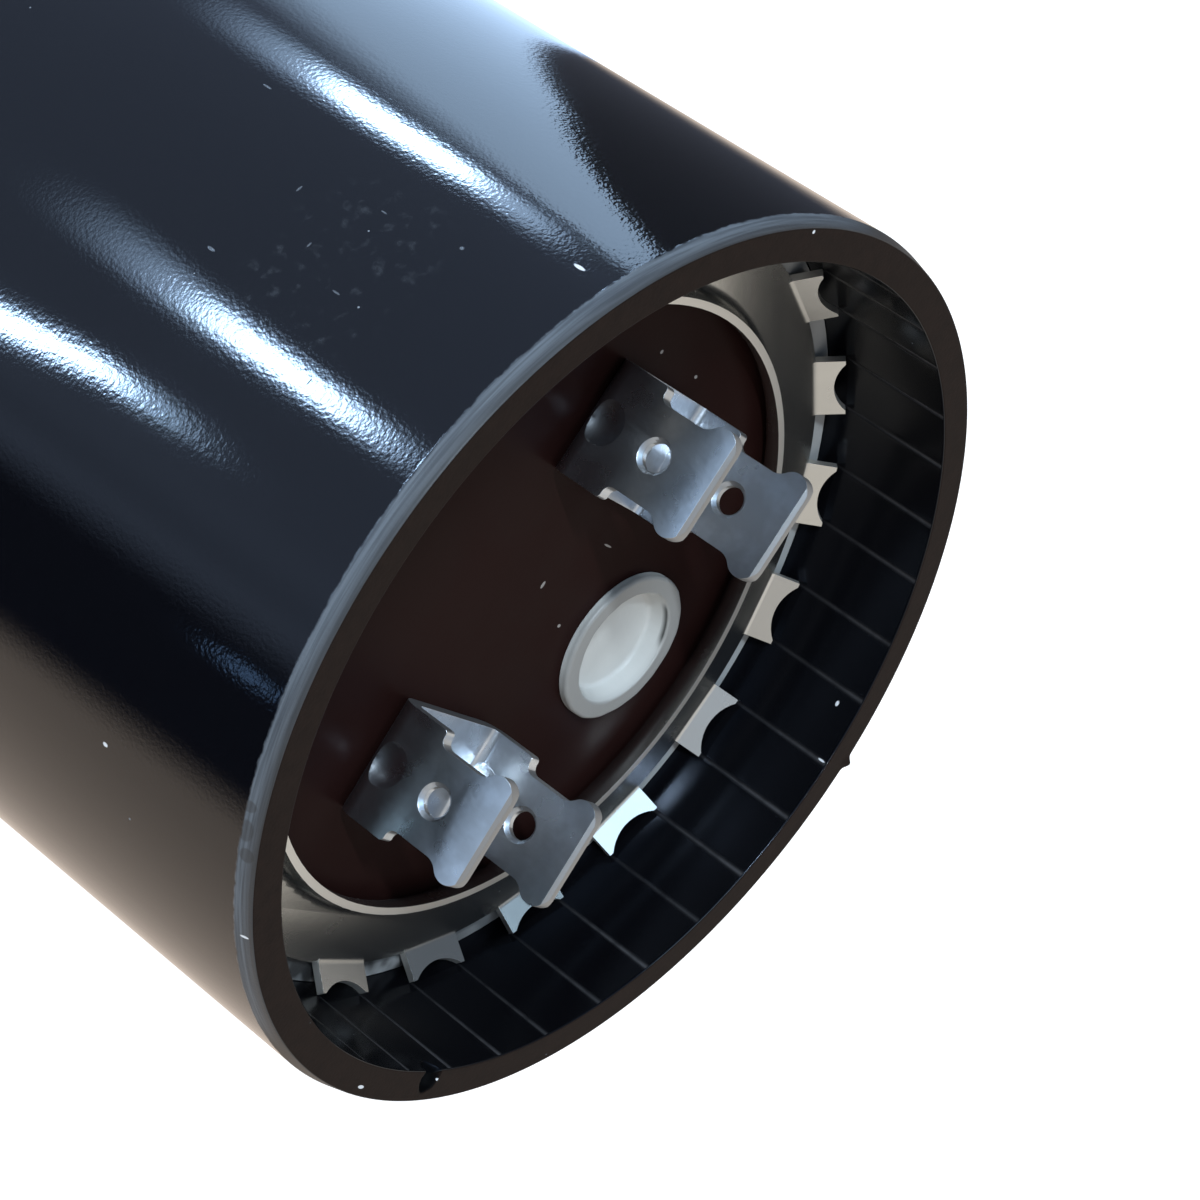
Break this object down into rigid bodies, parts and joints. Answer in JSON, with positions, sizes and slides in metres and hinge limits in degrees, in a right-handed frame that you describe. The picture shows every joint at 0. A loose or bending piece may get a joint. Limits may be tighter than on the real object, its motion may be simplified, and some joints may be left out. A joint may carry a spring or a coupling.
{
  "type": "motor start capacitor",
  "caption": "Cylindrical motor start capacitor: black moulded cup closed by a riveted header disc with folded push-on terminals, a rubber vent plug and a toothed retaining ring.",
  "frame": {"origin": "centre of the underside of the cup", "axes": "+Z along the axis of the cup, out of its mouth; X through both rivets, with terminal_right on +X; +Y towards the vent plug"},
  "size_m": [0.0524, 0.0524, 0.0861],
  "materials": {
    "case_plastic": "glossy black moulding",
    "fibre_pad": "pressed fibre",
    "wound_paper": "wound foil and paper",
    "paper_band": "glued paper",
    "foil_tab": "bright foil",
    "washer_steel": "plated",
    "disc_laminate": "satin brown laminate",
    "gasket_rubber": "matt grey",
    "plug_rubber": "matt pale grey",
    "tinned_terminal": "satin tin plate",
    "rivet_metal": "satin",
    "ring_steel": "smooth plated spring steel"
  },
  "bodies": {
    "root": {"case": "case_plastic", "bottom_pad": "fibre_pad", "winding": "wound_paper", "winding_tape": "paper_band", "lead_tab_left": "foil_tab", "lead_tab_right": "foil_tab", "rivet_washer_left": "washer_steel", "rivet_washer_right": "washer_steel", "header_disc": "disc_laminate", "header_gasket": "gasket_rubber", "vent_plug": "plug_rubber", "terminal_left": "tinned_terminal", "terminal_right": "tinned_terminal", "rivet_left": "rivet_metal", "rivet_right": "rivet_metal", "retaining_ring": "ring_steel"}
  },
  "joints": []
}
